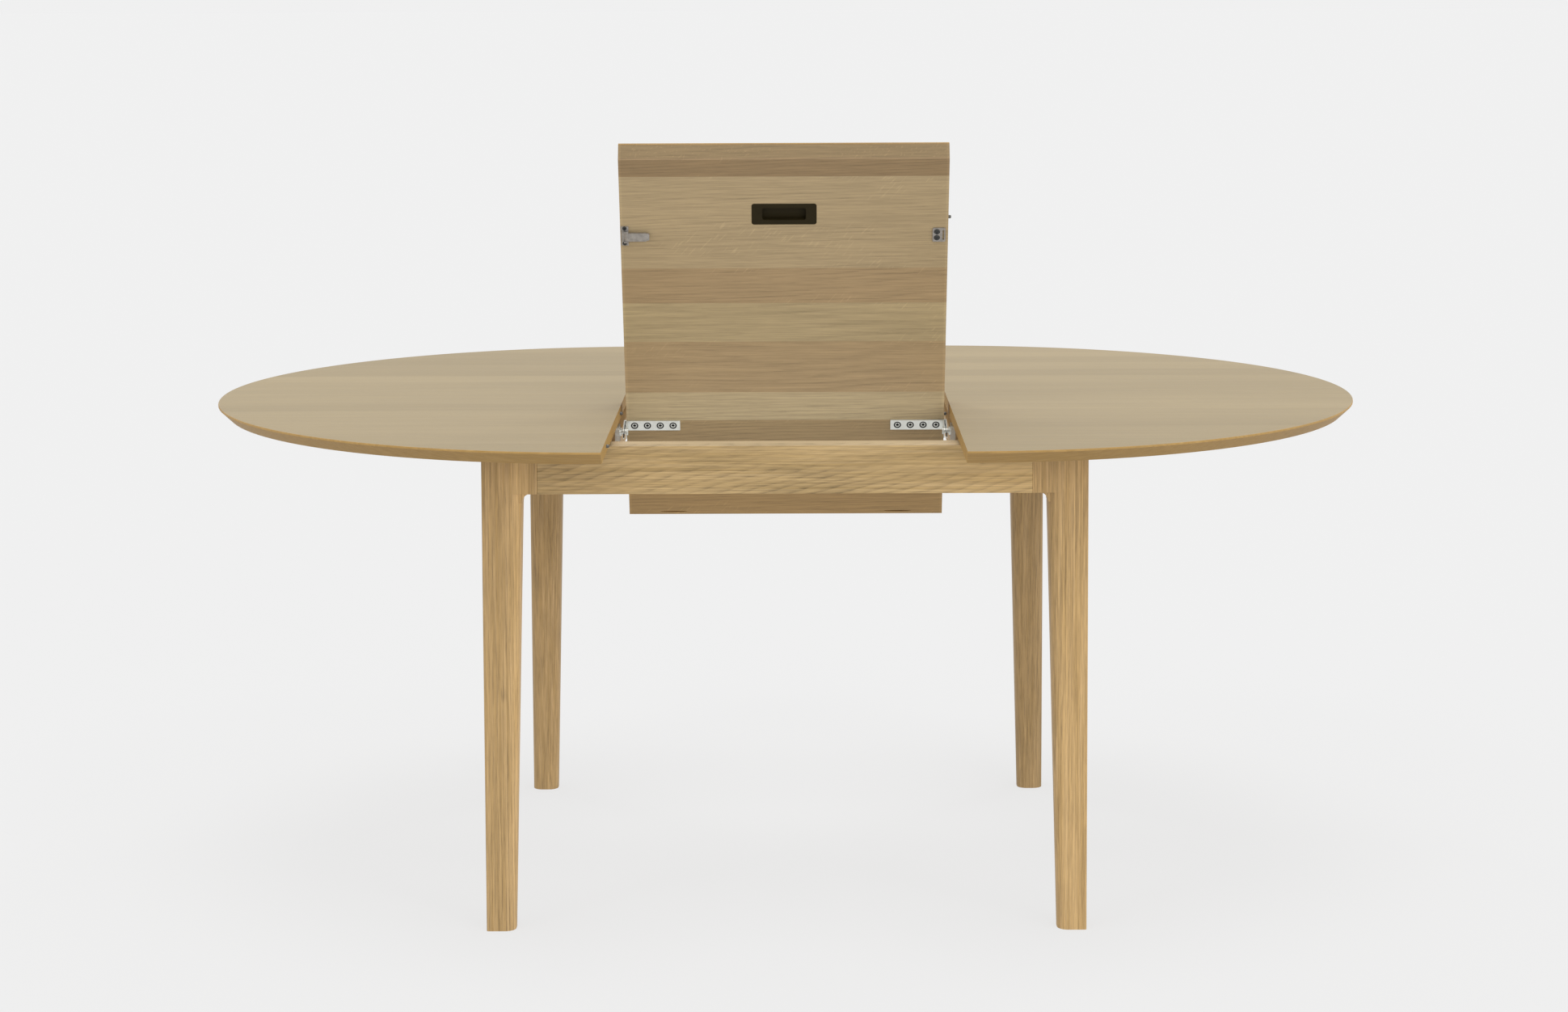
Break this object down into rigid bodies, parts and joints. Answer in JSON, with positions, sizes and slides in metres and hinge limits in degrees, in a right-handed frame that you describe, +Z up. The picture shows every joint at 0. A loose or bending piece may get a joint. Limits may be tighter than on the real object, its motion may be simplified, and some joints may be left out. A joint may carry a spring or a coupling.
{
  "type": "extending round table",
  "caption": "Round oak table with its half tops pulled apart on a square-legged frame, and a hinged butterfly leaf standing folded in the gap",
  "frame": {"origin": "on the floor under the centre of the object's box, which is 0.0 mm from the frame's centre line", "axes": "+X along the pull of the half tops, +Y to the rear, +Z up"},
  "size_m": [1.8018, 1.29, 1.1671],
  "materials": {
    "oak": "matt oiled light oak",
    "zinc": "bright zinc plate",
    "nickel": "dull nickel plate",
    "nylon": "white nylon",
    "handle_plastic": "brown moulded plastic"
  },
  "bodies": {
    "frame": {"leg_front_left": "oak", "leg_front_right": "oak", "leg_rear_left": "oak", "leg_rear_right": "oak", "apron_front": "oak", "apron_rear": "oak", "apron_left": "oak", "apron_right": "oak", "guide_rail_front": "oak", "guide_rail_rear": "oak", "bearer_left": "oak", "bearer_right": "oak", "glide_pads": "nylon", "pivot_bracket_left": "zinc", "pivot_bracket_right": "zinc", "bracket_screws": "zinc", "pivot_pins": "zinc"},
    "left_half": {"half_top_left": "oak", "half_top_pins": "zinc", "runner_front_left": "oak", "runner_rear_left": "oak", "half_strikes": "nickel", "half_strike_screws": "nickel"},
    "right_half": {"half_top_right": "oak", "runner_front_right": "oak", "runner_rear_right": "oak", "half_latch_bases": "nickel", "half_latch_screws": "nickel"},
    "half_lever_front": {"half_latch_lever_front": "nickel"},
    "half_lever_rear": {"half_latch_lever_rear": "nickel"},
    "leaf_front": {"leaf_front_panel": "oak", "strap_left": "zinc", "strap_right": "zinc", "strap_screws": "zinc", "handle_cup": "handle_plastic", "leaf_front_pins": "zinc", "leaf_front_latch_base": "nickel", "leaf_front_latch_screws": "nickel", "leaf_front_strike": "nickel", "leaf_front_strike_screws": "nickel", "fold_hinge_front": "zinc", "fold_hinge_pins": "zinc"},
    "leaf_front_lever": {"leaf_front_latch_lever": "nickel"},
    "leaf_rear": {"leaf_rear_panel": "oak", "leaf_rear_latch_base": "nickel", "leaf_rear_latch_screws": "nickel", "leaf_rear_strike": "nickel", "leaf_rear_strike_screws": "nickel", "fold_hinge_rear": "zinc"},
    "leaf_rear_lever": {"leaf_rear_latch_lever": "nickel"}
  },
  "joints": [
    {"name": "left_half_slide", "type": "slide", "parent": "frame", "child": "left_half", "axis": [1, 0, 0], "range_m": [0, 0.0035]},
    {"name": "right_half_slide", "type": "slide", "parent": "frame", "child": "right_half", "axis": [-1, 0, 0], "range_m": [0, 0.0035]},
    {"name": "leaf_swing", "type": "hinge", "parent": "frame", "child": "leaf_front", "pos_m": [0, -0.16425, 0.712], "axis": [1, 0, 0], "range_deg": [-112.5, 67.5]},
    {"name": "leaf_unfold", "type": "hinge", "parent": "leaf_front", "child": "leaf_rear", "pos_m": [0, -0.06444, 0.57556], "axis": [-1, 0, 0], "range_deg": [0, 88]},
    {"name": "leaf_front_latch", "type": "hinge", "parent": "leaf_front", "child": "leaf_front_lever", "pos_m": [-0.2385, -0.27605, 1.02477], "axis": [0, 0.3827, -0.9239], "range_deg": [0, 100]},
    {"name": "leaf_rear_latch", "type": "hinge", "parent": "leaf_rear", "child": "leaf_rear_lever", "pos_m": [-0.2385, -0.23245, 1.04284], "axis": [0, -0.3827, 0.9239], "range_deg": [0, 100]},
    {"name": "half_latch_front", "type": "hinge", "parent": "right_half", "child": "half_lever_front", "pos_m": [0.265, -0.496, 0.7284], "axis": [0, 1, 0], "range_deg": [0, 100]},
    {"name": "half_latch_rear", "type": "hinge", "parent": "right_half", "child": "half_lever_rear", "pos_m": [0.265, 0.496, 0.7284], "axis": [0, 1, 0], "range_deg": [0, 100]}
  ]
}
